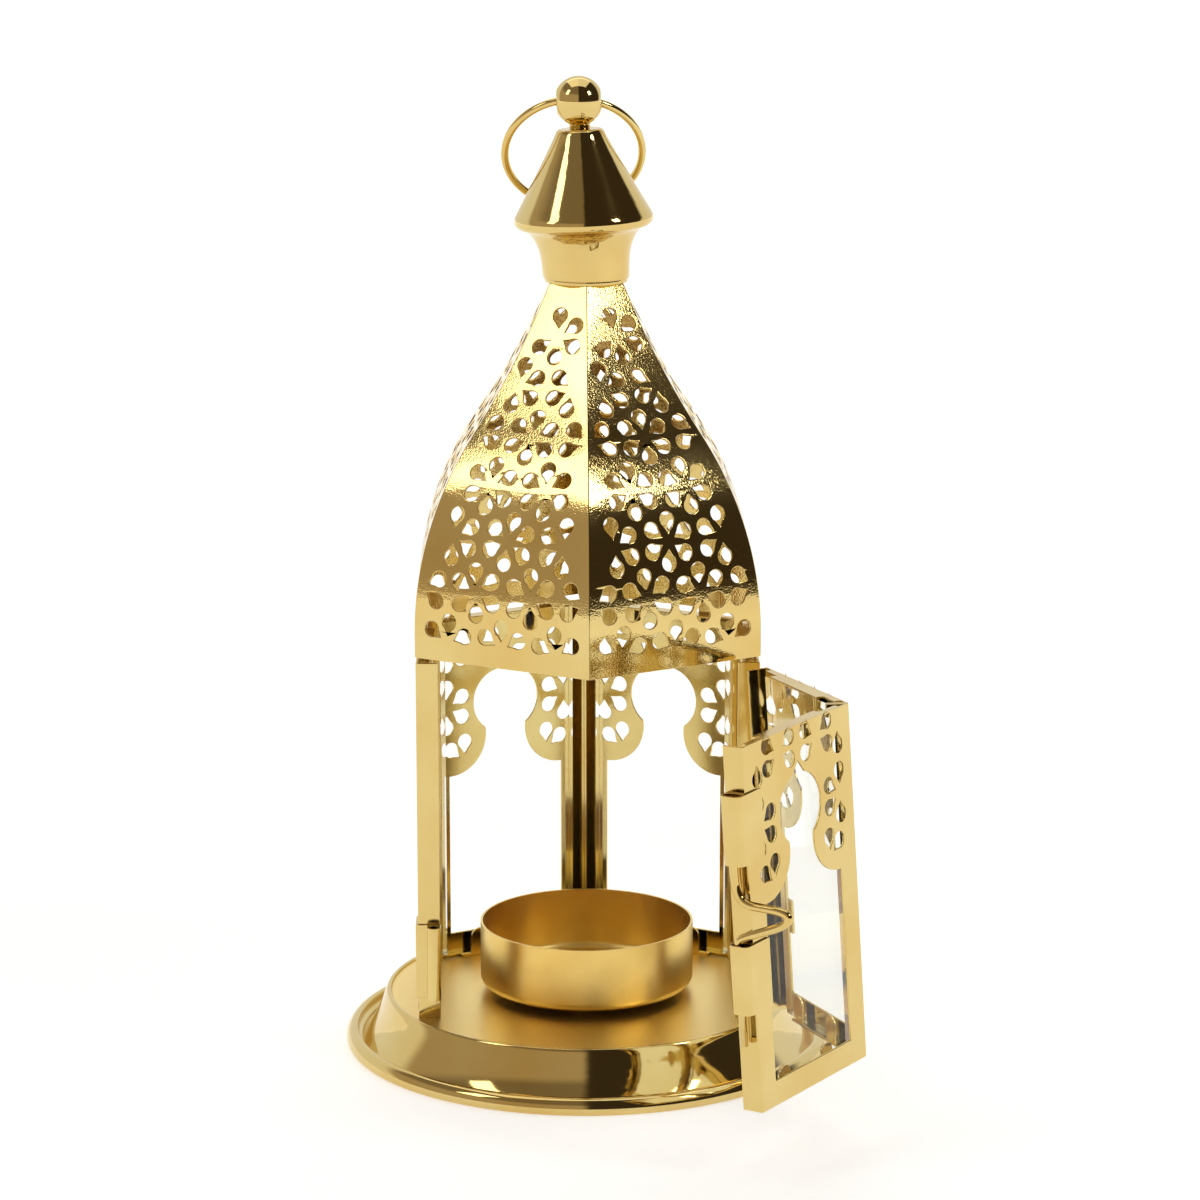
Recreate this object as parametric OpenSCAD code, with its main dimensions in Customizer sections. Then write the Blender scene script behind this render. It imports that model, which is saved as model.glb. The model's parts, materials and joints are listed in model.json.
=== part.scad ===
// Six-sided pierced metal lantern: spun base and cap, pierced roof and glazed walls,
// a folding-fronted door on a pinned hinge with a sliding latch, and a swinging hanging ring.

/* [Overall] */
// Radius of the six wall corners from the centre
corner_r = 40.3; // [39.5:0.1:40.5]
// Height of the wall panels
wall_h = 75.2; // [72:0.1:75.2]
// Height of the pierced roof, eave to neck
roof_h = 73.9; // [73.9:0.1:74.5]
// Sheet thickness of walls, roof and door
sheet = 0.5; // [0.5:0.05:0.6]

/* [Base] */
// Outside radius of the rolled rim
rim_r = 50.8; // [50.6:0.1:54]
// Height of the rolled rim
rim_h = 3.4; // [3:0.1:3.6]
// Height of the platform the walls stand on
platform_z = 10.7; // [10:0.1:11.5]
// Radius of the sunk platform
platform_r = 41.2; // [41.1:0.1:41.4]
// Thickness of the spun base
base_wall = 0.8; // [0.7:0.05:0.9]

/* [Candle cup] */
// Outside diameter of the candle cup
cup_d = 44.7; // [42:0.1:46]
// Height of the candle cup
cup_h = 13.6; // [12:0.1:16]
// Thickness of the cup's wall and floor
cup_wall = 0.5; // [0.4:0.05:0.6]
// Height of the washer that lifts the cup off the platform
spacer_h = 1.4; // [1:0.1:2]

/* [Door] */
// How far the door stands open, in degrees
door_open = 82.5; // [80:0.5:86]
// How far the open door leans sideways, in degrees
door_lean = 3.6; // [3:0.1:3.7]
// How far the shut door stands proud of the walls
door_out = 3; // [2.9:0.1:3.2]
// Gap between the hinge corner and the door's edge
hinge_gap = 4; // [4:0.1:5]
// Gap between the latch corner and the door's edge
latch_gap = 3.9; // [3.8:0.1:4.2]
// Diameter of the hinge pins and of the latch wire
wire_d = 1.7; // [1.65:0.05:1.7]

/* [Cap and ring] */
// Widest radius of the cap
cap_r = 14.25; // [14:0.05:14.5]
// Radius of the cap's foot
cap_foot_r = 8.8; // [8.7:0.05:9]
// How far the cap leans to the left, in degrees
cap_lean = 2.4; // [2:0.1:2.6]
// Diameter of the finial ball
ball_d = 10.1; // [10:0.1:10.4]
// Radius of the hanging ring to the middle of its wire
ring_r = 14; // [14:0.1:14.4]
// Diameter of the ring's wire
ring_wire = 1.6; // [1.4:0.1:1.7]

/* [Hidden] */
$fn = 64;

eps = 0.01;
// Radial clearance of every pin, rivet, stud and sliding wire
play = 0.05;
gold = [0.83, 0.69, 0.36];
bright_gold = [0.88, 0.76, 0.45];
satin_gold = [0.76, 0.60, 0.28];
glass_tint = [0.80, 0.90, 0.86, 0.4];

// A regular hexagon's side is as long as its corner radius
side = corner_r;
apothem = corner_r * cos(30);
wall_top = platform_z + wall_h;
eave_gap = 1.2;
eave_z = wall_top + eave_gap;
neck_z = eave_z + roof_h;

// Frame of one wall face: local x runs along the wall, local y inward from its outer face
module at_face(angle, z = platform_z)
    rotate([0, 0, angle + 90]) translate([0, -apothem, z]) children();

// ---------- pierced sheet pattern ----------

petal_tip = 1.7;
petal_reach = 6.05;
petal_r = 1.65;

petal_eye = petal_reach - petal_r;
// Where the straight sides meet the round end, drawn just inside it
petal_side_a = acos(petal_r / (petal_eye - petal_tip));
petal_side = (petal_r - 0.1) * [cos(petal_side_a), sin(petal_side_a)];

// One teardrop hole pointing away from a flower's centre, in direction a
module petal(a)
    rotate(a) {
        translate([petal_eye, 0]) circle(petal_r, $fn = 32);
        polygon([[petal_tip, 0], [petal_eye - petal_side[0], petal_side[1]], [petal_eye, 0],
            [petal_eye - petal_side[0], -petal_side[1]]]);
    }

// Arched window of a wall, measured from the wall's foot, drawn in by dx on a narrower door
rail_h = 5;
window_half = 13.9;
cusp_z = 50.4;
foil = [13.5, 48.6];
foil_r = 8.6;
lobe = [1, 55.6];
lobe_r = 6.9;
apex_z = 64.9;
shoulder = [2.4, 61.9];

module window(dx) {
    difference() {
        translate([dx - window_half, rail_h])
            square([2 * (window_half - dx), cusp_z - rail_h]);
        for (s = [-1, 1]) translate([s * (foil[0] - dx), foil[1]]) circle(foil_r, $fn = 64);
    }
    for (s = [-1, 1]) translate([s * (lobe[0] - dx), lobe[1]]) circle(lobe_r, $fn = 64);
    polygon([[-shoulder[0], lobe[1]], [-shoulder[0], shoulder[1]], [0, apex_z],
        [shoulder[0], shoulder[1]], [shoulder[0], lobe[1]]]);
}

// Each flower: centre from the middle line and from the wall's foot, and its petals' directions
wall_flowers = [
    [14.5, 55.2, [90, 150, 210, 270]],
    [10.1, 43, [90, 40]],
    [7, 68, [30, 150, 210, 330]],
    [14.5, 69, [270]]
];

module wall_petals(dx)
    for (s = [0, 1]) mirror([s, 0]) for (f = wall_flowers)
        translate([f[0] - dx * min(1, f[0] / 10), f[1]]) for (a = f[2]) petal(a);

// ---------- walls and door panels ----------

flange = 4.5;
glass_gap = 0.1;
glass_t = 2;
seat_y = sheet + glass_gap + glass_t + glass_gap;
shelf_narrow = 1.7;
shelf_inset = 2.7;
shelf_step = 5;
cut_over = 0.2;

// Far corner of an end flange: fold 60 meets its neighbour on the corner's bisector,
// fold 90 stands square to the wall
function flange_tip(x, s, fold) = [x - s * flange * cos(fold), flange * sin(fold)];
function flange_inner(x, s, fold) =
    [x - s * (flange * cos(fold) + sheet * sin(fold)), flange * sin(fold) - sheet * cos(fold)];
function bend_inner(x, s, fold) = [x - s * sheet * (1 + cos(fold)) / sin(fold), sheet];

// Plan of a wall from x0 to x1 with an inward flange at each end
module channel_plan(x0, x1, fold0, fold1)
    polygon([[x0, 0], [x1, 0], flange_tip(x1, 1, fold1), flange_inner(x1, 1, fold1),
        bend_inner(x1, 1, fold1), bend_inner(x0, -1, fold0),
        flange_inner(x0, -1, fold0), flange_tip(x0, -1, fold0)]);

// Inward shelf along the top or bottom edge, narrow at its ends and wide in the middle
module shelf(x0, x1)
    translate([(x0 + x1) / 2, 0]) linear_extrude(sheet) {
        width = x1 - x0 - 2 * shelf_inset;
        translate([-width / 2, eps]) square([width, shelf_narrow]);
        translate([shelf_step - width / 2, eps])
            square([width - 2 * shelf_step, seat_y + sheet - eps]);
    }

// Round-ended tab that holds the pane against the sheet
tab_w = 4;
tab_h = 6;

module glass_tab()
    translate([0, seat_y + sheet, 0]) rotate([90, 0, 0]) linear_extrude(sheet) {
        translate([-tab_w / 2, 0]) square([tab_w, tab_h - tab_w / 2]);
        translate([0, tab_h - tab_w / 2]) circle(tab_w / 2, $fn = 32);
    }

// A glazed panel: pierced sheet, end flanges, two shelves and four tabs
module panel(x0, x1, fold0, fold1, h, dx) {
    mid = (x0 + x1) / 2;
    step = (x1 - x0) / 5;
    difference() {
        linear_extrude(h) channel_plan(x0, x1, fold0, fold1);
        translate([mid, sheet + cut_over, 0]) rotate([90, 0, 0])
            linear_extrude(sheet + 2 * cut_over) {
                window(dx);
                wall_petals(dx);
            }
    }
    shelf(x0, x1);
    translate([0, 0, h - sheet]) shelf(x0, x1);
    for (s = [-1, 1]) translate([mid + s * step, 0, 0]) {
        glass_tab();
        translate([0, 0, h]) mirror([0, 0, 1]) glass_tab();
    }
}

// Lugs below a wall that pass through the base, and ears above it that hold the roof
lug_w = 5;
lug_x = 11;
lug_drop = base_wall + 0.8;
ear_h = 5;
ear_lap = 0.6;

module wall_lugs()
    for (s = [-1, 1]) translate([s * lug_x - lug_w / 2, 0, 0]) {
        translate([0, 0, -lug_drop]) cube([lug_w, sheet, lug_drop + eps]);
        translate([0, sheet, wall_h - ear_lap]) cube([lug_w, sheet, ear_h + ear_lap]);
    }

module wall(angle, fold0, fold1) color(gold) at_face(angle) {
    panel(-side / 2, side / 2, fold0, fold1, wall_h, 0);
    wall_lugs();
}

module panel_right() wall(0, 90, 60);
module panel_back_right() wall(60, 60, 60);
module panel_back_left() wall(120, 60, 60);
module panel_left() wall(180, 60, 90);

// A flat clear pane behind the sheet, between the two shelves
pane_side = 4.4;
pane_end = 0.7;

module pane(x0, x1, h) color(glass_tint)
    translate([x0 + pane_side, sheet + glass_gap, pane_end])
        cube([x1 - x0 - 2 * pane_side, glass_t, h - 2 * pane_end]);

module wall_glass(angle) at_face(angle) pane(-side / 2, side / 2, wall_h);

module glass_right() wall_glass(0);
module glass_back_right() wall_glass(60);
module glass_back_left() wall_glass(120);
module glass_left() wall_glass(180);

// ---------- base, cup and rivet ----------

land_r = platform_r + 1;
land_z = platform_z + 0.5;
foot_r = rim_r - 1.4;

// A spun outline: every corner between the first and last point becomes a short curve
// from the middle of the line before it to the middle of the line after it
spin_steps = 4;
function spun(p) = [p[0],
    for (k = [1 : len(p) - 2], t = [0 : spin_steps - 1])
        corner_curve((p[k - 1] + p[k]) / 2, p[k], (p[k] + p[k + 1]) / 2, t / spin_steps),
    (p[len(p) - 2] + p[len(p) - 1]) / 2, p[len(p) - 1]];
function corner_curve(a, c, b, u) = (1 - u) * (1 - u) * a + 2 * u * (1 - u) * c + u * u * b;

// Under side and upper side of the spun base: sunk platform, flared skirt, trough, rolled rim
under_z = platform_z - base_wall;
base_under = [[platform_r - 0.6, under_z], [platform_r + 0.3, under_z + 0.2],
    [land_r - 0.6, land_z - 1.7], [land_r + 0.3, 7.2], [land_r + 1.5, 4.2],
    [land_r + 3.2, 1.6], [land_r + 4.4, 0.5], [foot_r - 1.6, 0.2], [foot_r - 0.6, 0]];
base_over = [[rim_r - 0.6, 0], [rim_r - 0.1, 0.4], [rim_r, 1.3], [rim_r - 0.3, 2.4],
    [rim_r - 1.2, rim_h], [rim_r - 2.4, rim_h + 0.1], [rim_r - 2.6, rim_h - 0.8],
    [rim_r - 2.3, 1.8], [foot_r - 1.8, 1.1], [land_r + 5, 1.3], [land_r + 4, 2.2],
    [land_r + 2.3, 4.8], [land_r + 1.1, 7.7], [land_r + 0.4, 10], [land_r - 0.1, land_z],
    [platform_r + 0.3, land_z], [platform_r, land_z - 0.2], [platform_r - 0.1, platform_z]];

module base_section()
    polygon(concat([[0, under_z]], spun(base_under), spun(base_over), [[0, platform_z]]));

rivet_r = 1.5;
slot_play = 0.3;

module base_dish() color(bright_gold) difference() {
    rotate_extrude($fn = 128) base_section();
    translate([0, 0, platform_z - base_wall - 1])
        cylinder(r = rivet_r + play, h = base_wall + 2, $fn = 32);
    for (a = [0, 60, 120, 180], s = [-1, 1]) at_face(a, platform_z - base_wall - 0.5)
        translate([s * lug_x - lug_w / 2 - slot_play, -slot_play, 0])
            cube([lug_w + 2 * slot_play, sheet + 2 * slot_play, base_wall + 1]);
}

cup_r = cup_d / 2;
cup_z = platform_z + spacer_h;
cup_corner = 2;

// Half section of the cup: a rounded foot corner and a thin straight wall
module cup_section() difference() {
    union() {
        square([cup_r - cup_corner, cup_h]);
        translate([0, cup_corner]) square([cup_r, cup_h - cup_corner]);
        intersection() {
            translate([cup_r - cup_corner, cup_corner]) circle(cup_corner, $fn = 48);
            square([cup_r, cup_corner + eps]);
        }
    }
    translate([-eps, cup_corner]) square([cup_r - cup_wall + eps, cup_h]);
    translate([-eps, cup_wall]) square([cup_r - cup_corner + eps, cup_corner]);
    intersection() {
        translate([cup_r - cup_corner, cup_corner]) circle(cup_corner - cup_wall, $fn = 48);
        square([cup_r, cup_corner + eps]);
    }
}

module candle_cup() color(satin_gold) translate([0, 0, cup_z]) difference() {
    rotate_extrude($fn = 128) cup_section();
    translate([0, 0, -1]) cylinder(r = rivet_r + play, h = cup_wall + 2, $fn = 32);
}

spacer_r = 6;

module cup_spacer() color(satin_gold) translate([0, 0, platform_z]) difference() {
    cylinder(r = spacer_r, h = spacer_h);
    translate([0, 0, -1]) cylinder(r = rivet_r + play, h = spacer_h + 2, $fn = 32);
}

// Rivet with a domed head in the cup and a flat head below the platform
rivet_head_r = 3;
rivet_head_h = 0.9;

module cup_rivet() color(satin_gold) {
    top = cup_z + cup_wall;
    bottom = platform_z - base_wall;
    translate([0, 0, bottom - rivet_head_h])
        cylinder(r = rivet_head_r, h = rivet_head_h);
    translate([0, 0, bottom - eps]) cylinder(r = rivet_r, h = top - bottom + 2 * eps, $fn = 32);
    translate([0, 0, top]) rotate_extrude() intersection() {
        dome_r = (rivet_head_r * rivet_head_r + rivet_head_h * rivet_head_h) / 2 / rivet_head_h;
        translate([0, rivet_head_h - dome_r]) circle(dome_r, $fn = 128);
        square([rivet_head_r, rivet_head_h]);
    }
}

// ---------- roof ----------

roof_sheet = 0.6;
roof_over = 0.1;
roof_out = apothem + roof_over;
skirt_z = eave_z + 5;
belly_r = 71;
waist_z = skirt_z + 39.5;
waist_a = asin((waist_z - skirt_z) / belly_r);
waist_out = roof_out - belly_r * (1 - cos(waist_a));
neck_out = 7.45;
// The hollow upper arc leaves the belly on its tangent and ends at the neck
chord = [waist_out - neck_out, neck_z - waist_z];
chord_a = atan2(chord[0], chord[1]);
sweep_a = 2 * (waist_a - chord_a);
hollow_r = norm(chord) / (2 * sin(sweep_a / 2));
hollow_c = [waist_out + hollow_r * cos(waist_a), waist_z + hollow_r * sin(waist_a)];
belly_len = belly_r * waist_a * PI / 180;
// The belly and the hollow arc meet on one line across the waist, which both their clips share
waist_in = [waist_out, waist_z] - 3 * [cos(waist_a), sin(waist_a)];
waist_far = [waist_out, waist_z] + 3 * [cos(waist_a), sin(waist_a)];
clip_w = 6;

// Place on the outer face at distance d up the sheet from the eave: [out, height, slope]
function roof_at(d) =
    d < skirt_z - eave_z ? [roof_out, eave_z + d, 0]
    : d < skirt_z - eave_z + belly_len ? belly_at((d - skirt_z + eave_z) / belly_r * 180 / PI)
    : hollow_at(waist_a - (d - skirt_z + eave_z - belly_len) / hollow_r * 180 / PI);
function belly_at(a) = [roof_out - belly_r * (1 - cos(a)), skirt_z + belly_r * sin(a), a];
function hollow_at(a) =
    [hollow_c[0] - hollow_r * cos(a), hollow_c[1] - hollow_r * sin(a), a];

// Section of the roof sheet, drawn as out and up: a straight skirt, a belly and a hollow
module roof_section() {
    translate([roof_out - roof_sheet, eave_z]) square([roof_sheet, skirt_z - eave_z]);
    difference() {
        intersection() {
            translate([roof_out - belly_r, skirt_z]) circle(belly_r, $fn = 720);
            polygon([waist_in, [roof_out - clip_w, skirt_z], [roof_out + clip_w, skirt_z],
                waist_far]);
        }
        translate([roof_out - belly_r, skirt_z]) circle(belly_r - roof_sheet, $fn = 720);
    }
    difference() {
        intersection() {
            translate(hollow_c) circle(hollow_r + roof_sheet, $fn = 1440);
            polygon([waist_in, waist_far, [neck_out + clip_w, neck_z],
                [neck_out - clip_w, neck_z]]);
        }
        translate(hollow_c) circle(hollow_r, $fn = 1440);
    }
}

// Flowers of the roof stand on a triangular lattice up the sheet
flower_pitch = 12.6;
flower_rise = flower_pitch * sin(60);
first_row = 3.9;
roof_rows = 7;
seam_margin = 0.5;
eave_margin = 1.2;
punch_h = 3.2;
roof_len = skirt_z - eave_z + belly_len + hollow_r * sweep_a * PI / 180;

// Half width of the roof sheet at distance d from the eave
function half_width(d) = roof_at(d)[0] * tan(30);

// A petal is punched only where the whole of it lies inside the sheet
function petal_fits(x, d) =
    d - petal_r > eave_margin && d + petal_r < roof_len
    && abs(x) + petal_r + seam_margin < half_width(d + petal_r);

module roof_holes()
    for (row = [0 : roof_rows], col = [-2 : 2]) {
        x = (col + (row % 2) / 2) * flower_pitch;
        d = first_row + row * flower_rise;
        turn = 6 * sin(140 * row + 95 * col);
        for (k = [0 : 5]) {
            a = 30 + 60 * k + turn;
            eye = petal_eye * [cos(a), sin(a)];
            if (petal_fits(x + eye[0], d + eye[1])) {
                p = roof_at(d + eye[1]);
                translate([x + eye[0], -p[0], p[1]]) rotate([90 - p[2], 0, 0])
                    translate([-eye[0], -eye[1], -punch_h / 2]) linear_extrude(punch_h) petal(a);
            }
        }
    }

module roof_panel(angle) color(gold) rotate([0, 0, angle + 90]) difference() {
    intersection() {
        rotate([90, 0, -90]) translate([0, 0, -side])
            linear_extrude(2 * side) roof_section();
        linear_extrude(neck_z + 10)
            polygon([[0, 0], [-60 * tan(30), -60], [60 * tan(30), -60]]);
    }
    roof_holes();
}

module roof_front_right() roof_panel(-60);
module roof_right() roof_panel(0);
module roof_back_right() roof_panel(60);
module roof_back_left() roof_panel(120);
module roof_left() roof_panel(180);
module roof_front_left() roof_panel(-120);

// ---------- cap, finial and hanging ring ----------

lip_h = 0.8;
lip_r = 8.5;
lip_hole_r = 5.5;
cap_z = neck_z + lip_h;
cap_wall = 0.6;
edge_z = 12;
shoulder_z = 29.4;
cap_top = 30.1;
top_r = 4.2;

module lean_cap() translate([0, 0, cap_z]) rotate([0, -cap_lean, 0]) children();

module neck_ring() color(gold) translate([0, 0, neck_z]) difference() {
    cylinder(r = lip_r, h = lip_h);
    translate([0, 0, -1]) cylinder(r = lip_hole_r, h = lip_h + 2);
}

// Concave flare between the cap's foot and its widest edge, as heights and radii
flare_steps = 5;
function flare(t) = [cap_foot_r + 0.2 + (cap_r - 0.5 - cap_foot_r - 0.2) * (1 - cos(90 * t)),
    2.6 + (edge_z - 1.6 - 2.6) * sin(90 * t)];

// The foot reaches a little below the cap's own zero, and is then cut level on the neck ring
foot_cut = 0.5;

function cap_outline(inset) = concat([[cap_foot_r - inset, -foot_cut - inset]],
    [for (k = [0 : flare_steps]) flare(k / flare_steps) - [inset, 0]],
    [[cap_r + 0.2 - inset, edge_z - inset / 4], [cap_r - 1.1 - inset, edge_z + 2.2 - inset / 2],
        [top_r + 1.3 - inset, shoulder_z - 1.4 - inset / 2],
        [top_r + 0.5 - inset, cap_top - inset], [top_r - 0.8 - inset, cap_top - inset]]);

module cap_section(inset)
    polygon(concat([[0, -foot_cut - inset]], spun(cap_outline(inset)), [[0, cap_top - inset]]));

stud_r = 1.5;

module cap() color(gold) difference() {
    lean_cap() rotate_extrude($fn = 128) cap_section(0);
    lean_cap() rotate_extrude($fn = 128) cap_section(cap_wall);
    lean_cap() translate([0, 0, cap_top - 3]) cylinder(r = stud_r + play, h = 4, $fn = 32);
    translate([0, 0, cap_z - 4 * foot_cut]) cylinder(r = cap_r, h = 4 * foot_cut);
}

ball_r = ball_d / 2;
ball_gap = 0.5;
ball_z = cap_top + ball_gap + ball_r;
ball_flat = 4.5;
eye_r = 1.75;
ball_neck_r = 2.1;
ball_neck_h = 1.2;
stud_up = 2.7;

module finial_ball() color(gold) lean_cap() difference() {
    union() {
        intersection() {
            translate([0, 0, ball_z]) sphere(ball_r, $fn = 64);
            translate([-ball_flat, -ball_r, ball_z - ball_r])
                cube([2 * ball_flat, 2 * ball_r, 2 * ball_r]);
        }
        translate([0, 0, cap_top]) cylinder(r = ball_neck_r, h = ball_neck_h, $fn = 48);
    }
    translate([-ball_r, 0, ball_z]) rotate([0, 90, 0]) cylinder(r = eye_r, h = 2 * ball_r, $fn = 48);
    translate([0, 0, cap_top - 1]) cylinder(r = stud_r + play, h = stud_up + 1.1, $fn = 32);
}

nut_h = 2;
nut_r = 2.9;
stud_down = cap_wall + nut_h + 1;

module finial_stud() color(gold) lean_cap() translate([0, 0, cap_top - stud_down])
    cylinder(r = stud_r, h = stud_down + stud_up, $fn = 32);

module finial_nut() color(gold) lean_cap() translate([0, 0, cap_top - cap_wall - nut_h])
    difference() {
        cylinder(r = nut_r, h = nut_h, $fn = 6);
        translate([0, 0, -1]) cylinder(r = stud_r + play, h = nut_h + 2, $fn = 32);
    }

// The ring lies back on the cone; it is turned a little so that its middle is off to the right
ring_back = 34;
ring_turn = 6;
ring_sag = 0.35;

module hanging_ring() color(gold) lean_cap() translate([0, 0, ball_z])
    rotate([ring_back, 0, 0]) rotate([0, ring_turn, 0])
        translate([0, 0, ring_sag - ring_r]) rotate([90, 0, 0])
            rotate_extrude($fn = 128) translate([ring_r, 0]) circle(ring_wire / 2, $fn = 24);

// ---------- door ----------

// The hinge line leans, so that the door is upright when shut and leans when open.
// It stands off the wall's corner: out from the wall, and along it.
hinge_off = [0.7, 1.7];
hinge_x = apothem + hinge_off[0];
hinge_y = -side / 2 - hinge_off[1];
hinge_mid = wall_h / 2;
lean_t = tan(door_lean);
hinge_tx = -lean_t / 2;
hinge_ty = -lean_t * sin(door_open) / (2 * (1 - cos(door_open)));
hinge_axis = [hinge_tx, hinge_ty, 1];

// Where the hinge line passes at height z above the platform
function hinge_at(z) = [hinge_x + hinge_tx * (z - hinge_mid), hinge_y + hinge_ty * (z - hinge_mid)];

// Swings a shut door's part to where it rests, open
module swung()
    translate([hinge_x, hinge_y, platform_z + hinge_mid]) rotate(a = door_open, v = hinge_axis)
        translate([-hinge_x, -hinge_y, -platform_z - hinge_mid]) children();

door_z = 3.8;
door_h = 71.8;
door_dx = 0.8;
fold_gap = 0.15;
hinge_edge = side / 2 - hinge_gap;
latch_edge = -side / 2 + latch_gap;

// Frame of one face of the open door, with z above the platform
module door_face(angle, z = 0)
    swung() translate([0, -door_out, 0]) at_face(angle, platform_z + z) children();

module door_panel_hinge_side() color(gold) door_face(-60, door_z)
    panel(-side / 2 + fold_gap, hinge_edge, 60, 90, door_h, door_dx);

// Each latch loop's tail goes through a slot in the free edge's flange, just below the loop
tail_slots = [[18.8, 26], [45.6, 55]];
tail_in = 0.6;
tail_w = 1.1;

module door_panel_latch_side() color(gold) difference() {
    door_face(-120, door_z)
        panel(latch_edge, side / 2 - fold_gap, 90, 60, door_h, door_dx);
    for (z = tail_slots) door_face(-120, z[0]) translate([latch_edge - 1, tail_in, 0])
        cube([1.1 + sheet, tail_w, z[1] - z[0]]);
}

module glass_door_hinge_side() door_face(-60, door_z)
    pane(-side / 2 + fold_gap, hinge_edge, door_h);

module glass_door_latch_side() door_face(-120, door_z)
    pane(latch_edge, side / 2 - fold_gap, door_h);

// Hinge: two pairs of short tubes, one tube of each pair on the wall and one on the door
tube_wall = 0.5;
pin_r = wire_d / 2;
knuckle_r = pin_r + play + tube_wall;
knuckle_h = 7;
knuckle_gap = 0.3;
lower_z = 14;
upper_z = 50;
leaf_w = 6;

// Moves upright things onto the hinge line at height z, leaning with it
module along_hinge(z) {
    p = hinge_at(z);
    translate([p[0], p[1], platform_z + z])
        rotate(a = acos(1 / norm(hinge_axis)), v = cross([0, 0, 1], hinge_axis)) children();
}

// A strap from a sheet's outer face to a tube whose middle is at p, seen in plan.
// The sheet ends at edge, and the strap lies on it for leaf_w. Outward is -y.
module strap_plan(edge, p) {
    from = [edge + tube_wall / 2, -tube_wall / 2];
    way = p - from;
    translate([edge, -tube_wall]) square([leaf_w, tube_wall]);
    translate(from) rotate(atan2(way[1], way[0])) translate([0, -tube_wall / 2])
        square([norm(way), tube_wall]);
}

// The hinge line's place at height z, in the plan of the wall at 0 degrees, mirrored so that
// the sheet's edge is at x = 0 and the sheet runs along +x
function leaf_centre(z) = [hinge_at(z)[1] + side / 2, apothem - hinge_at(z)[0]];

module hinge_leaf(z) color(gold) difference() {
    union() {
        at_face(0) translate([-side / 2, 0, z]) linear_extrude(knuckle_h)
            strap_plan(0, leaf_centre(z + knuckle_h / 2));
        along_hinge(z) cylinder(r = knuckle_r, h = knuckle_h, $fn = 48);
    }
    along_hinge(z - 1) cylinder(r = pin_r, h = knuckle_h + 2, $fn = 48);
}

module hinge_leaf_upper() hinge_leaf(upper_z);
module hinge_leaf_lower() hinge_leaf(lower_z);

pin_head_h = 0.7;
pin_head_over = 0.5;
pin_len = 2 * knuckle_h + knuckle_gap + 2;

module hinge_pin(z) color(gold) along_hinge(z - 1) {
    cylinder(r = pin_r, h = pin_len, $fn = 48);
    translate([0, 0, pin_len - eps]) cylinder(r = pin_r + pin_head_over, h = pin_head_h, $fn = 48);
}

module hinge_pin_upper() hinge_pin(upper_z);
module hinge_pin_lower() hinge_pin(lower_z);

// Plan place of a world point in the frame of the wall at an angle
function in_face(q, angle) = [q[1] * cos(angle) - q[0] * sin(angle),
    apothem - q[0] * cos(angle) - q[1] * sin(angle)];

// The door's half of a hinge pair, above the wall's half. Its strap runs back along -x,
// so the plan is mirrored.
module door_knuckle(z) color(gold) difference() {
    z0 = z + knuckle_h + knuckle_gap;
    centre = in_face(hinge_at(z0 + knuckle_h / 2) + [0, door_out], -60);
    union() {
        door_face(-60, z0) linear_extrude(knuckle_h) mirror([1, 0])
            strap_plan(-hinge_edge, [-centre[0], centre[1]]);
        swung() along_hinge(z0) cylinder(r = knuckle_r, h = knuckle_h, $fn = 48);
    }
    swung() along_hinge(z0 - 1)
        cylinder(r = pin_r + play, h = knuckle_h + 2, $fn = 48);
}

module door_knuckle_upper() door_knuckle(upper_z);
module door_knuckle_lower() door_knuckle(lower_z);

// Latch: two loops on the door's free edge and one on the wall share an upright line
// when the door is shut. The wire's line is given from the free edge, outward and inward.
wire_out = 1.5;
wire_in = 2.4;
strap_t = 0.5;
loop_plate_w = 4.8;
loop_spare = 0.3;
loop_round = 1.3;
loop_h = 13.6;
loop_low_z = 23.9;
loop_high_z = 53.1;
keeper_z = 4.6;
keeper_h = 15.6;
slot_r = pin_r + play;

// Plan of a strap bent into a loop round the wire's line p, with its plate on a sheet that
// starts at x = 0 and runs along +x. Outward is -y. The loop's hole is a slot that reaches
// spare further inward than the wire's own place.
module loop_plan(p, plate_w, spare) {
    far = [p[0] - slot_r - strap_t, p[1] + spare + slot_r + strap_t];
    translate([0, -strap_t]) square([plate_w, strap_t]);
    difference() {
        union() {
            translate([far[0] + loop_round, -strap_t])
                square([-far[0] - loop_round, far[1] + strap_t]);
            translate([far[0], loop_round - strap_t])
                square([loop_round + eps, far[1] + strap_t - 2 * loop_round]);
            for (y = [loop_round - strap_t, far[1] - loop_round])
                translate([far[0] + loop_round, y]) circle(loop_round, $fn = 48);
        }
        for (y = [slot_r, p[1] + spare]) translate([p[0], y]) circle(slot_r, $fn = 48);
        translate([p[0] - slot_r, slot_r]) square([2 * slot_r, p[1] + spare - slot_r]);
    }
}

module latch_loop(z) color(gold) door_face(-120, z) translate([latch_edge, 0, 0])
    linear_extrude(loop_h) loop_plan([-wire_out, wire_in], loop_plate_w, loop_spare);

module latch_tube_upper() latch_loop(loop_high_z);
module latch_tube_lower() latch_loop(loop_low_z);

// Where the wire's line stands in world plan when the door is shut
latch_line = (apothem - wire_in) * [cos(-120), sin(-120)]
    + (latch_edge - wire_out) * [-sin(-120), cos(-120)] - [0, door_out];

// The keeper is a strap round the wall's corner with a round tube on the wire's line
keeper_r = slot_r + strap_t;

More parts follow.
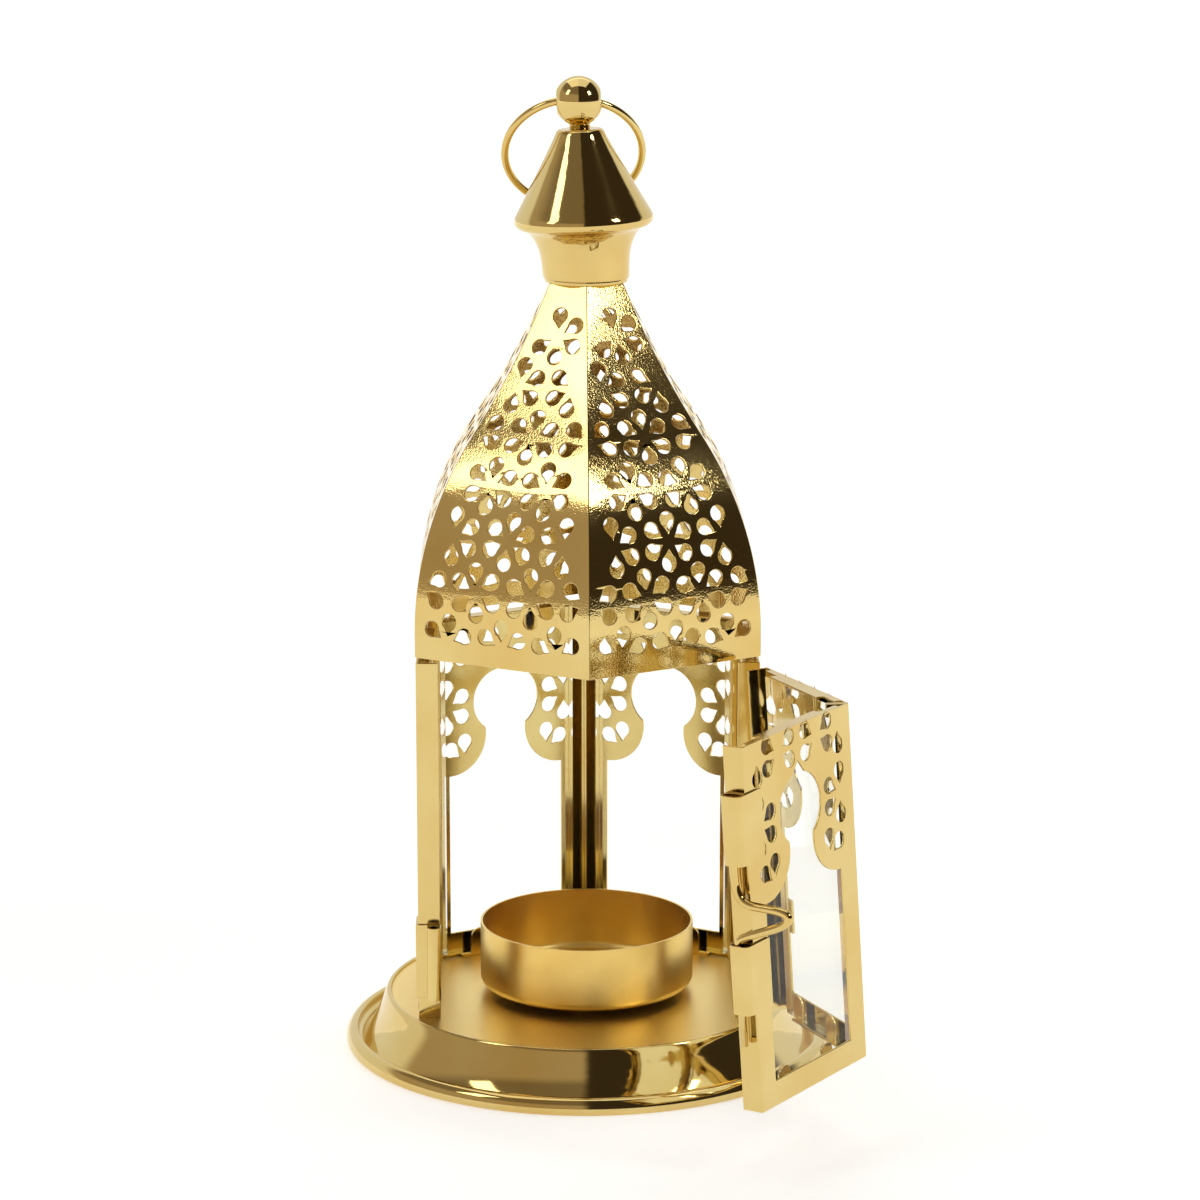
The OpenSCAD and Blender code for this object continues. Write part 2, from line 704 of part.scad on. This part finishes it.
module latch_keeper() color(gold) at_face(180, platform_z + keeper_z) {
    p = in_face(latch_line, 180) - [side / 2, 0];
    translate([side / 2, 0, 0]) difference() {
        linear_extrude(keeper_h) {
            translate([-leaf_w, -strap_t]) square([leaf_w + strap_t, strap_t]);
            translate([0, -eps]) square([strap_t, p[1] + keeper_r + eps]);
            translate([0, p[1] - keeper_r]) square([p[0], 2 * keeper_r]);
            translate(p) circle(keeper_r, $fn = 48);
        }
        translate([p[0], p[1], -1]) cylinder(r = slot_r, h = keeper_h + 2, $fn = 48);
    }
}

// Bent latch wire: pairs of reach out from its line and height above the platform
rod_path = [[0, 17.4], [0, 38.1], [1.5, 39], [8.9, 41.6], [10.8, 42.8], [11, 44], [9.2, 44.8],
    [2.8, 45.3], [0.9, 46.4], [0, 49.2], [0, 65.5]];
pull_angle = 82;
// The ball at each bend stands this much outside the wire
bend_over = 0.004;

// A straight piece of wire from a to b
module wire(a, b, r) {
    d = b - a;
    translate(a) rotate([0, acos(d[2] / norm(d)), atan2(d[1], d[0])])
        cylinder(r = r, h = norm(d), $fn = 32);
}

module latch_rod() color(bright_gold) door_face(-120)
    translate([latch_edge - wire_out, wire_in, 0]) rotate([0, 0, -pull_angle])
        for (k = [1 : len(rod_path) - 1]) {
            a = [rod_path[k - 1][0], 0, rod_path[k - 1][1]];
            b = [rod_path[k][0], 0, rod_path[k][1]];
            wire(a, b, pin_r);
            if (k < len(rod_path) - 1) translate(b) sphere(pin_r + bend_over, $fn = 32);
        }

base_dish();
candle_cup();
cup_spacer();
cup_rivet();
panel_right();
panel_back_right();
panel_back_left();
panel_left();
glass_right();
glass_back_right();
glass_back_left();
glass_left();
roof_front_right();
roof_right();
roof_back_right();
roof_back_left();
roof_left();
roof_front_left();
neck_ring();
cap();
finial_ball();
finial_stud();
finial_nut();
hanging_ring();
hinge_leaf_upper();
hinge_leaf_lower();
hinge_pin_upper();
hinge_pin_lower();
door_panel_hinge_side();
door_panel_latch_side();
glass_door_hinge_side();
glass_door_latch_side();
door_knuckle_upper();
door_knuckle_lower();
latch_tube_upper();
latch_tube_lower();
latch_rod();
latch_keeper();
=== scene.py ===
"""Looks of a six-sided pierced gold lantern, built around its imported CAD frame."""
import json
import math

import bmesh
import bpy
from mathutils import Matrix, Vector


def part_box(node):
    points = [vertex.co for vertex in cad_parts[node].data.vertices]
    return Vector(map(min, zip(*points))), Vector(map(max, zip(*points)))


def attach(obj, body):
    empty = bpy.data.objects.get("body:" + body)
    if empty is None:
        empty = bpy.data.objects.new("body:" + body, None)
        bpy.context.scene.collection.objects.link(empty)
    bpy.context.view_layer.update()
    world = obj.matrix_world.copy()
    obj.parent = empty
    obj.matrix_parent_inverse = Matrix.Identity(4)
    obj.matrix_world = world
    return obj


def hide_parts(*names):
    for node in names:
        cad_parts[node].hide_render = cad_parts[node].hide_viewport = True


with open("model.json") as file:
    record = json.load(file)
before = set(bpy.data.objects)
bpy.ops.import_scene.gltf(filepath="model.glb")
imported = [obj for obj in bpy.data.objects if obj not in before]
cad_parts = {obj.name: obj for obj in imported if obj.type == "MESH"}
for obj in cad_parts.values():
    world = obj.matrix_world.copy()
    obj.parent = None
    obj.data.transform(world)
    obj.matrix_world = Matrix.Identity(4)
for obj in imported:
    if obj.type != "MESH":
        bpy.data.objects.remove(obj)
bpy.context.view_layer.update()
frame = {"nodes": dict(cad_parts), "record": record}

MM = 0.001
NODES = frame["nodes"]
RECORD = frame["record"]
SLOT = {s["node"]: s["material_slot"] for s in RECORD["subparts"]}
BODY = {n: body for body, names in RECORD["behaviour"]["bodies"].items() for n in names}
JOINT = {j["name"]: j for j in RECORD["behaviour"]["joints"]}

# Camera: place in metres, lens and sensor in millimetres, tilt and turn in degrees
CAMERA_PLACE = (-0.0118, -0.8127, 0.2747)
CAMERA_LENS, CAMERA_SENSOR = 120.74, 36
CAMERA_DOWN, CAMERA_TURN = 12.503, -1.03

# Soft lamps: name, bearing and height in degrees, distance and size in metres, power in watts.
# Bearing 0 is the front and positive is to the right.
LAMP_AIM = Vector((0, 0, 0.1))
LAMPS = [("left_box", -64, 41, 1.2, (0.24, 0.40), 0.95),
         ("right_box", 60, 38, 1.2, (0.20, 0.28), 1.8),
         ("top_box", 180, 75, 1.5, (1.6, 1.6), 8)]

# Floor: it glows a little, more so far away, so that it fades into the white backdrop
FLOOR_RADIUS = 9
FLOOR_DARK, FLOOR_LIGHT = (0.90, 0.898, 0.89, 1), (0.92, 0.918, 0.91, 1)
FLOOR_GLOW_COLOUR = (1, 0.995, 0.985, 1)
GLOW_NEAR, GLOW_FAR = (0.3, 0.52), (2.5, 0.95)      # distance in metres and strength

# Studio: white all round but for an unlit room on the camera's side, lighter on its left and
# lightest low down there. Each edge is where that part starts and is full: a distance along
# ROOM_WAY, X or Z of a direction one long.
ROOM_WAY = Vector((0.05, -0.88, 0.47))
ROOM_EDGE = (-0.26, -0.10)
LEFT_EDGE = (0.02, -0.06)
LOW_EDGE = (0.64, 0.46)
BACKDROP = (1.0, 0.99, 0.97, 1)
ROOM_RIGHT = (0.05, 0.037, 0.025, 1)
ROOM_LEFT_HIGH, ROOM_LEFT_LOW = (0.27, 0.22, 0.17, 1), (0.54, 0.45, 0.35, 1)
STUDIO_STRENGTH = 0.88

# Metal and glass colours
BRIGHT = (0.72, 0.56, 0.225)
WARM = (0.68, 0.48, 0.16)
SATIN = (0.94, 0.69, 0.23)
BROWN = (0.84, 0.57, 0.16)
PLATFORM = (0.98, 0.75, 0.29)
GLASS_DARK, GLASS_LIGHT = (0.975, 0.995, 0.98, 1), (0.985, 1.0, 0.99, 1)
GLASS_IOR = 1.25
GLASS_HAZE = 0.02

# Noise in the looks: scale per metre and detail, and for the three bump layers their height
DRIFT = (45, 5)
DRIFT_ENDS = (0.30, 0.62)                           # noise at which the colour is deep and bright
POLISH = (160, 6)
POLISH_ENDS = (0.7, 1.35)                           # lowest and highest share of the roughness
WAVE = (60, 0, 0.12 * MM)
GLITTER = (3200, 0, 0.02 * MM)
GRAIN = (6000, 2, 0.02 * MM)
GLASS_NOISE = (120, 2)
FLOOR_NOISE_SCALE = 6

# The platform is satin: out to this many cup radii, and up to this height over its floor
PLATFORM_CUPS = 1.85
PLATFORM_FADE = 0.3 * MM
PLATFORM_LIFT = (0.4 * MM, 0.1 * MM)
SATIN_ROUGHER = 0.30

# Edge rounding in millimetres for each slot that has it. Edges sharper than SHARP are rounded.
SHARP = math.radians(38)
EDGE_WIDTH = {"gold_sheet": 0.13, "gold_roof": 0.16, "gold_strap": 0.10, "gold_satin": 0.08,
              "gold_spun": 0.08, "gold_turned": 0.12}
WELD = 0.001 * MM                                   # vertices nearer than this become one
FLAT = math.radians(0.5)                            # faces that meet flatter than this become one

# The latch wire: reach out from its line and height, in millimetres
WIRE_PATH = [(0, 17.4), (0, 38.1), (1.5, 39), (8.9, 41.6), (10.8, 42.8), (11, 44), (9.2, 44.8),
             (2.8, 45.3), (0.9, 46.4), (0, 49.2), (0, 65.5)]
WIRE_R = 0.84
WIRE_BEND = 1.6
WIRE_SIDES = 20
BEND_STEPS = 6


# ---------- camera, light and floor ----------

def add_camera():
    """The photograph's view: from 0.81 m in front and a little above the lantern's ring."""
    data = bpy.data.cameras.new("view")
    data.sensor_width = CAMERA_SENSOR
    data.lens = CAMERA_LENS
    cam = bpy.data.objects.new("view", data)
    cam.location = CAMERA_PLACE
    cam.rotation_euler = (math.radians(90 - CAMERA_DOWN), 0, math.radians(CAMERA_TURN))
    bpy.context.scene.collection.objects.link(cam)
    bpy.context.scene.camera = cam


def add_softbox(name, bearing, height, distance, size, power):
    """A soft lamp aimed at the lantern."""
    a, e = math.radians(bearing), math.radians(height)
    place = LAMP_AIM + distance * Vector((math.sin(a) * math.cos(e), -math.cos(a) * math.cos(e),
                                          math.sin(e)))
    data = bpy.data.lights.new(name, "AREA")
    data.shape = "RECTANGLE"
    data.size, data.size_y = size
    data.energy = power
    lamp = bpy.data.objects.new(name, data)
    lamp.location = place
    lamp.rotation_euler = (LAMP_AIM - place).to_track_quat("-Z", "Y").to_euler()
    bpy.context.scene.collection.objects.link(lamp)


def new_material(name):
    mat = bpy.data.materials.new(name)
    mat.use_nodes = True
    return mat, mat.node_tree.nodes, mat.node_tree.links, mat.node_tree.nodes["Principled BSDF"]


def colour_ramp(nodes, links, value, low, high, ends=(0, 1)):
    """The colour low where value is at the first end, and high where it is at the second."""
    node = nodes.new("ShaderNodeValToRGB")
    for element, position, colour in zip(node.color_ramp.elements, ends, (low, high)):
        element.position = position
        element.color = colour
    links.new(value, node.inputs["Fac"])
    return node.outputs["Color"]


def map_range(nodes, links, value, to_ends, from_ends=(0, 1)):
    node = nodes.new("ShaderNodeMapRange")
    node.inputs["From Min"].default_value, node.inputs["From Max"].default_value = from_ends
    node.inputs["To Min"].default_value, node.inputs["To Max"].default_value = to_ends
    links.new(value, node.inputs["Value"])
    return node.outputs["Result"]


def ramp_between(nodes, links, value, low, high, name):
    """0 where value is at low, 1 where it is at high."""
    node = nodes.new("ShaderNodeMapRange")
    node.name = name
    node.interpolation_type = "SMOOTHSTEP"
    node.inputs["From Min"].default_value = low
    node.inputs["From Max"].default_value = high
    links.new(value, node.inputs["Value"])
    return node.outputs["Result"]


def blend_colours(nodes, links, factor, a, b):
    """a where factor is 0, b where it is 1; each is a colour or a socket."""
    node = nodes.new("ShaderNodeMix")
    node.data_type = "RGBA"
    links.new(factor, node.inputs["Factor"])
    for socket, colour in ((node.inputs["A"], a), (node.inputs["B"], b)):
        if isinstance(colour, tuple):
            socket.default_value = colour
        else:
            links.new(colour, socket)
    return node.outputs["Result"]


def length(nodes, links, vector):
    node = nodes.new("ShaderNodeVectorMath")
    node.operation = "LENGTH"
    links.new(vector, node.inputs[0])
    return node.outputs["Value"]


def two_values(nodes, links, operation, a, b):
    node = nodes.new("ShaderNodeMath")
    node.operation = operation
    links.new(a, node.inputs[0])
    links.new(b, node.inputs[1])
    return node.outputs[0]


def add_floor():
    """A plain pale floor, wide enough to fill the view to its upper edge."""
    mesh = bpy.data.meshes.new("floor")
    bm = bmesh.new()
    bmesh.ops.create_circle(bm, cap_ends=True, radius=FLOOR_RADIUS, segments=96)
    bm.to_mesh(mesh)
    bm.free()
    floor = bpy.data.objects.new("floor", mesh)
    bpy.context.scene.collection.objects.link(floor)
    mat, nodes, links, shader = new_material("pale_floor")
    grain = nodes.new("ShaderNodeTexNoise")
    grain.inputs["Scale"].default_value = FLOOR_NOISE_SCALE
    pale = colour_ramp(nodes, links, grain.outputs["Fac"], FLOOR_DARK, FLOOR_LIGHT)
    links.new(pale, shader.inputs["Base Color"])
    shader.inputs["Roughness"].default_value = 0.8
    shader.inputs["Emission Color"].default_value = FLOOR_GLOW_COLOUR
    coord = nodes.new("ShaderNodeTexCoord")
    away = length(nodes, links, coord.outputs["Object"])
    glow = map_range(nodes, links, away, (GLOW_NEAR[1], GLOW_FAR[1]), (GLOW_NEAR[0], GLOW_FAR[0]))
    links.new(glow, shader.inputs["Emission Strength"])
    mesh.materials.append(mat)


def add_world():
    """A white studio whose camera side is an unlit room: the metal reflects white from
    behind and below, and the dark room, lighter on its left, from in front and above. What
    the camera sees itself, or through the glass, is plain white."""
    world = bpy.data.worlds.new("studio")
    bpy.context.scene.world = world
    world.use_nodes = True
    nodes, links = world.node_tree.nodes, world.node_tree.links
    room = nodes["Background"]
    coord = nodes.new("ShaderNodeTexCoord")
    split = nodes.new("ShaderNodeSeparateXYZ")
    links.new(coord.outputs["Generated"], split.inputs[0])

    front = nodes.new("ShaderNodeVectorMath")
    front.operation = "DOT_PRODUCT"
    front.inputs[1].default_value = ROOM_WAY.normalized()
    links.new(coord.outputs["Generated"], front.inputs[0])
    in_room = ramp_between(nodes, links, front.outputs["Value"], *ROOM_EDGE, "in_room")
    left = ramp_between(nodes, links, split.outputs["X"], *LEFT_EDGE, "left_side")
    low = ramp_between(nodes, links, split.outputs["Z"], *LOW_EDGE, "low_down")
    lit = blend_colours(nodes, links, low, ROOM_LEFT_HIGH, ROOM_LEFT_LOW)
    dark = blend_colours(nodes, links, left, ROOM_RIGHT, lit)
    sky = blend_colours(nodes, links, in_room, BACKDROP, dark)
    links.new(sky, room.inputs["Color"])
    room.inputs["Strength"].default_value = STUDIO_STRENGTH

    pale = nodes.new("ShaderNodeBackground")
    pale.inputs["Color"].default_value = (1, 1, 1, 1)
    path = nodes.new("ShaderNodeLightPath")
    seen = two_values(nodes, links, "MAXIMUM", path.outputs["Is Camera Ray"],
                      path.outputs["Is Transmission Ray"])
    mix = nodes.new("ShaderNodeMixShader")
    links.new(seen, mix.inputs["Fac"])
    links.new(room.outputs[0], mix.inputs[1])
    links.new(pale.outputs[0], mix.inputs[2])
    links.new(mix.outputs[0], nodes["World Output"].inputs["Surface"])


# ---------- materials ----------

def noise(nodes, links, coord, scale, detail):
    node = nodes.new("ShaderNodeTexNoise")
    node.inputs["Scale"].default_value = scale
    node.inputs["Detail"].default_value = detail
    links.new(coord.outputs["Object"], node.inputs["Vector"])
    return node.outputs["Fac"]


def satin_mask(nodes, links, coord):
    """1 on the sunk platform, which is satin, and 0 on the polished skirt, rim and cap."""
    split = nodes.new("ShaderNodeSeparateXYZ")
    links.new(coord.outputs["Object"], split.inputs[0])
    flat = nodes.new("ShaderNodeCombineXYZ")
    links.new(split.outputs["X"], flat.inputs["X"])
    links.new(split.outputs["Y"], flat.inputs["Y"])
    radius = length(nodes, links, flat.outputs[0])
    platform_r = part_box("candle_cup")[1][0] * PLATFORM_CUPS
    floor_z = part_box("cup_spacer")[0][2]
    inside = ramp_between(nodes, links, radius, platform_r, platform_r - PLATFORM_FADE, "inside")
    low = ramp_between(nodes, links, split.outputs["Z"], *(floor_z + z for z in PLATFORM_LIFT),
                       "low")
    return two_values(nodes, links, "MULTIPLY", inside, low)


def gold(name, colour, deep, roughness, wave=0.0, glitter=0.0, grain=0.0, satin_floor=False):
    """Plated gold with a slow colour drift and uneven polish. wave is a slow waviness of the
    sheet, glitter a fine pebbling that breaks up highlights, grain the tooth of a satin
    finish: all three are bump strengths."""
    mat, nodes, links, shader = new_material(name)
    shader.inputs["Metallic"].default_value = 1.0
    coord = nodes.new("ShaderNodeTexCoord")
    base = colour_ramp(nodes, links, noise(nodes, links, coord, *DRIFT), (*deep, 1), (*colour, 1),
                       DRIFT_ENDS)
    rough = map_range(nodes, links, noise(nodes, links, coord, *POLISH),
                      [roughness * end for end in POLISH_ENDS])
    if satin_floor:
        mask = satin_mask(nodes, links, coord)
        base = blend_colours(nodes, links, mask, base, (*PLATFORM, 1))
        duller = nodes.new("ShaderNodeMath")
        duller.operation = "MULTIPLY_ADD"
        duller.inputs[1].default_value = SATIN_ROUGHER
        links.new(mask, duller.inputs[0])
        links.new(rough, duller.inputs[2])
        rough = duller.outputs[0]
    links.new(base, shader.inputs["Base Color"])
    links.new(rough, shader.inputs["Roughness"])

    normal = None
    for strength, (scale, detail, depth) in ((wave, WAVE), (glitter, GLITTER), (grain, GRAIN)):
        if strength == 0:
            continue
        bump = nodes.new("ShaderNodeBump")
        bump.inputs["Strength"].default_value = strength
        bump.inputs["Distance"].default_value = depth
        links.new(noise(nodes, links, coord, scale, detail), bump.inputs["Height"])
        if normal is not None:
            links.new(normal, bump.inputs["Normal"])
        normal = bump.outputs["Normal"]
    links.new(normal, shader.inputs["Normal"])
    return mat


def clear_glass():
    """Clear window glass with a trace of green and an uneven, very slight haze."""
    mat, nodes, links, shader = new_material("clear_glass")
    shader.inputs["Transmission Weight"].default_value = 1.0
    shader.inputs["IOR"].default_value = GLASS_IOR
    coord = nodes.new("ShaderNodeTexCoord")
    haze = noise(nodes, links, coord, *GLASS_NOISE)
    links.new(map_range(nodes, links, haze, (0, GLASS_HAZE)), shader.inputs["Roughness"])
    links.new(colour_ramp(nodes, links, haze, GLASS_DARK, GLASS_LIGHT),
              shader.inputs["Base Color"])
    return mat


MATERIALS = {
    "gold_sheet": gold("gold_sheet", BRIGHT, WARM, 0.12, wave=0.5, glitter=0.08),
    "gold_roof": gold("gold_roof", BRIGHT, WARM, 0.085, wave=0.3, glitter=0.5),
    "gold_spun": gold("gold_spun", BRIGHT, WARM, 0.07, wave=0.25, satin_floor=True),
    "gold_satin": gold("gold_satin", SATIN, BROWN, 0.33, grain=0.5),
    "gold_turned": gold("gold_turned", BRIGHT, WARM, 0.07, wave=0.1),
    "gold_wire": gold("gold_wire", BRIGHT, WARM, 0.05, wave=0.2),
    "gold_strap": gold("gold_strap", BRIGHT, WARM, 0.12, wave=0.4),
    "clear_glass": clear_glass(),
}


# ---------- pieces ----------

def finish_piece(piece, bm, *node_names):
    """Gives a new mesh to a piece, which then stands for the named nodes and rides with them."""
    bm.to_mesh(piece.data)
    bm.free()
    slot = SLOT[node_names[0]]
    piece.data.materials.append(MATERIALS[slot])
    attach(piece, BODY[node_names[0]])
    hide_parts(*node_names)


def new_piece(name):
    piece = bpy.data.objects.new(name, bpy.data.meshes.new(name))
    bpy.context.scene.collection.objects.link(piece)
    return piece


def rounded(name, width):
    """The CAD node again, with its sharp edges rounded over as worked sheet metal has them."""
    bm = bmesh.new()
    bm.from_mesh(NODES[name].data)
    bmesh.ops.remove_doubles(bm, verts=bm.verts, dist=WELD)
    bmesh.ops.dissolve_limit(bm, angle_limit=FLAT, verts=bm.verts, edges=bm.edges)
    sharp = [e for e in bm.edges if len(e.link_faces) == 2 and e.calc_face_angle() > SHARP]
    bmesh.ops.bevel(bm, geom=sharp, offset=width, offset_type="OFFSET", segments=2,
                    profile=0.5, affect="EDGES", clamp_overlap=False)
    for face in bm.faces:
        face.smooth = True
    for edge in bm.edges:
        edge.smooth = len(edge.link_faces) == 2 and edge.calc_face_angle() < SHARP
    piece = new_piece(name + "_rounded")
    finish_piece(piece, bm, name)
    weigh = piece.modifiers.new("weigh", "WEIGHTED_NORMAL")
    weigh.keep_sharp = True


def along(points, bend):
    """The points with each corner turned into a short curve that starts at most bend from it."""
    path = [points[0]]
    for before, corner, after in zip(points, points[1:], points[2:]):
        start = corner + (before - corner) * min(0.5, bend / (before - corner).length)
        end = corner + (after - corner) * min(0.5, bend / (after - corner).length)
        for k in range(BEND_STEPS + 1):
            t = k / BEND_STEPS
            path.append(start * (1 - t) ** 2 + corner * 2 * t * (1 - t) + end * t ** 2)
    path.append(points[-1])
    return [path[0]] + [b for a, b in zip(path, path[1:]) if (b - a).length > 0.01 * MM]


def wire_line():
    """The CAD latch wire's foot, the way its line runs and the way its pull points."""
    mesh = [NODES["latch_rod"].matrix_world @ v.co for v in NODES["latch_rod"].data.vertices]
    line = Vector(JOINT["latch_slide"]["axis"]).normalized()
    lowest = min(v.dot(line) for v in mesh)
    end = [v for v in mesh if v.dot(line) - lowest < 0.05 * MM]
    foot = sum(end, Vector()) / len(end)
    off = [(v - foot) - line * (v - foot).dot(line) for v in mesh]
    reach = max(o.length for o in off)
    pull = sum((o for o in off if o.length > 0.9 * reach), Vector()).normalized()
    return foot, line, pull


def latch_wire():
    """The latch wire again as one smooth bent rod, on the CAD wire's own line."""
    foot, line, pull = wire_line()
    side = line.cross(pull)
    path = along([foot + pull * x * MM + line * (z - WIRE_PATH[0][1]) * MM for x, z in WIRE_PATH],
                 WIRE_BEND * MM)
    bm = bmesh.new()
    rings = []
    for before, here, after in zip([path[0]] + path, path, path[1:] + [path[-1]]):
        ahead = (after - before).normalized()
        across = side.cross(ahead)
        turn = [2 * math.pi * k / WIRE_SIDES for k in range(WIRE_SIDES)]
        rings.append([bm.verts.new(here + WIRE_R * MM * (side * math.cos(a) + across * math.sin(a)))
                      for a in turn])
    for lower, upper in zip(rings, rings[1:]):
        for k in range(WIRE_SIDES):
            j = (k + 1) % WIRE_SIDES
            bm.faces.new((lower[k], lower[j], upper[j], upper[k])).smooth = True
    bm.faces.new(rings[0])
    bm.faces.new(rings[-1])
    bmesh.ops.recalc_face_normals(bm, faces=bm.faces)
    finish_piece(new_piece("latch_wire"), bm, "latch_rod")


# ---------- the scene ----------

add_camera()
add_world()
add_floor()
for lamp in LAMPS:
    add_softbox(*lamp)
bpy.context.scene.view_settings.view_transform = "Standard"

for name, node in NODES.items():
    slot = SLOT[name]
    if slot in EDGE_WIDTH:
        rounded(name, EDGE_WIDTH[slot] * MM)
    elif name == "latch_rod":
        latch_wire()
    else:
        node.data.materials.clear()
        node.data.materials.append(MATERIALS[slot])
